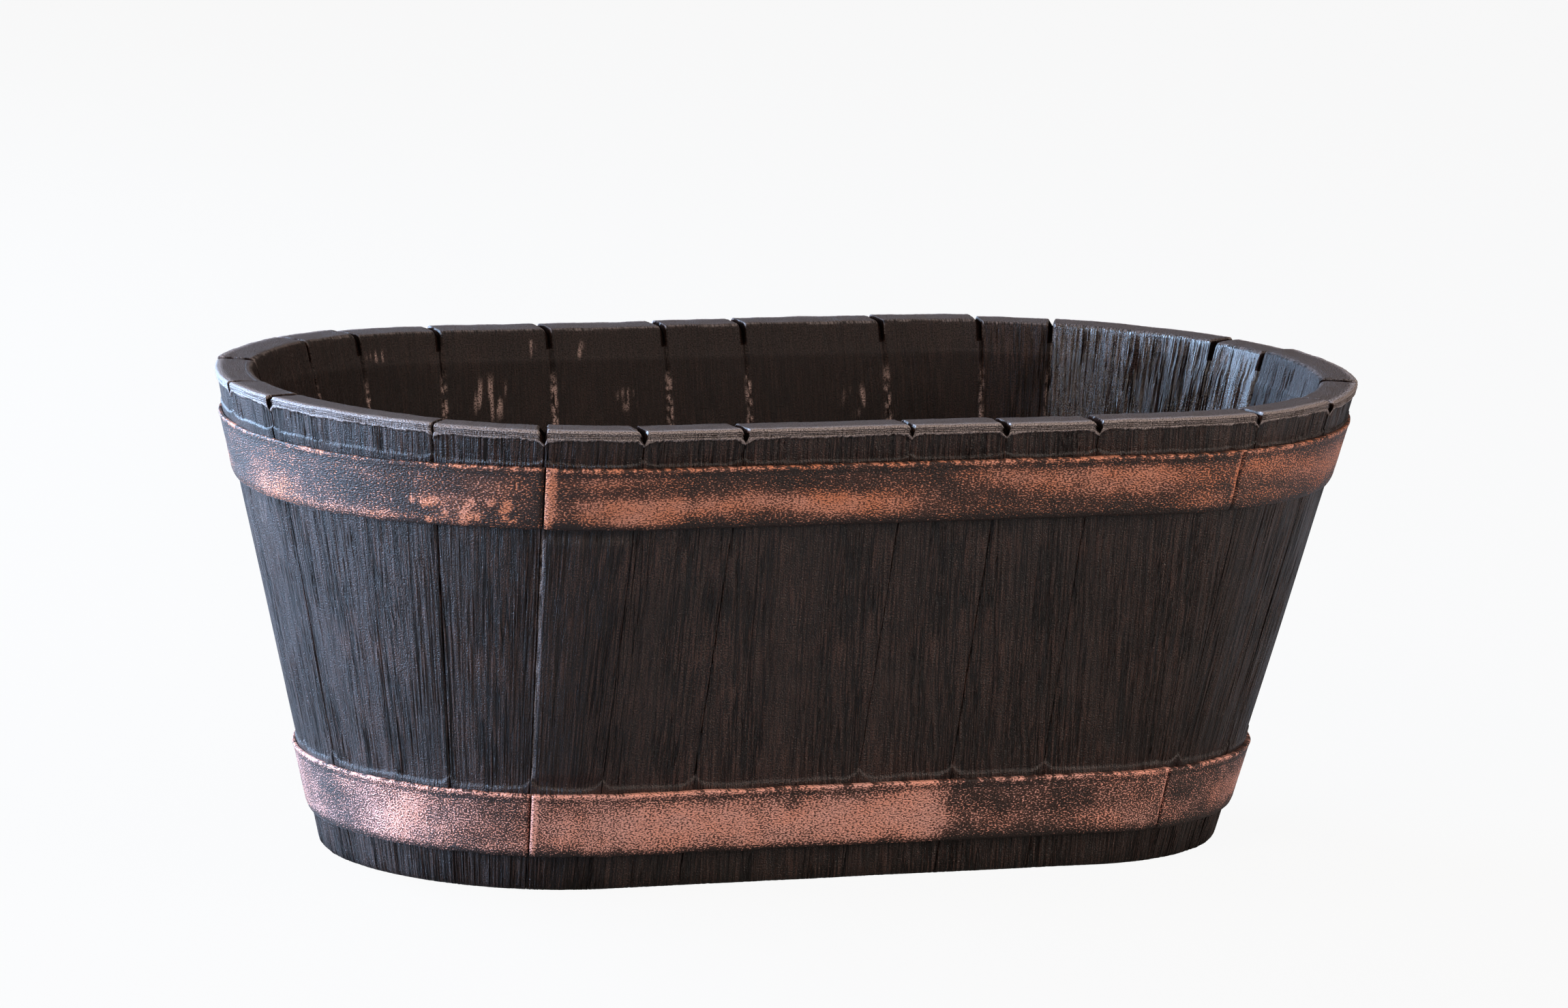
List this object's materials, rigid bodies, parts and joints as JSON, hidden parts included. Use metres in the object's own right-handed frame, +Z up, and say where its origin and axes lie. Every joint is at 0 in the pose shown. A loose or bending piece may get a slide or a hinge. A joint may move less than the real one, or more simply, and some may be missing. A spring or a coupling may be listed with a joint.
{
  "type": "oval barrel planter",
  "caption": "Oval half-barrel planter: dark wire-brushed staves lean out from a flat foot to a notched rim, held by flat copper-brushed hoops round an open planting space.",
  "frame": {"origin": "on the floor under the middle of the oval", "axes": "+X along the oval's long way, +Z up, the pictured front faces -Y"},
  "size_m": [0.6008, 0.3308, 0.24],
  "materials": {
    "stave_wood": "near-black brown stain over wire-brushed upright grain, satin",
    "head_wood": "near-black brown stain over flat-sawn boards, matt",
    "dowel_wood": "bare turned hardwood",
    "hoop_metal": "pebbled near-black paint, dry-brushed with copper"
  },
  "bodies": {
    "root": {"back_left_end_stave": "stave_wood", "back_left_side_stave": "stave_wood", "back_right_corner_stave": "stave_wood", "back_stave_1": "stave_wood", "back_stave_2": "stave_wood", "back_stave_3": "stave_wood", "front_left_corner_stave": "stave_wood", "front_right_corner_stave": "stave_wood", "front_stave_1": "stave_wood", "front_stave_2": "stave_wood", "front_stave_3": "stave_wood", "head_board_back": "head_wood", "head_board_front": "head_wood", "head_board_middle_back": "head_wood", "head_board_middle_front": "head_wood", "head_dowels": "dowel_wood", "left_stave_1": "stave_wood", "left_stave_2": "stave_wood", "left_stave_3": "stave_wood", "left_stave_4": "stave_wood", "left_stave_5": "stave_wood", "left_stave_6": "stave_wood", "left_stave_7": "stave_wood", "lower_hoop_back_strap": "hoop_metal", "lower_hoop_front_strap": "hoop_metal", "lower_hoop_left_strap": "hoop_metal", "lower_hoop_right_strap": "hoop_metal", "right_stave_1": "stave_wood", "right_stave_2": "stave_wood", "right_stave_3": "stave_wood", "right_stave_4": "stave_wood", "right_stave_5": "stave_wood", "right_stave_6": "stave_wood", "upper_hoop_back_strap": "hoop_metal", "upper_hoop_front_strap": "hoop_metal", "upper_hoop_left_strap": "hoop_metal", "upper_hoop_right_strap": "hoop_metal"}
  },
  "joints": []
}
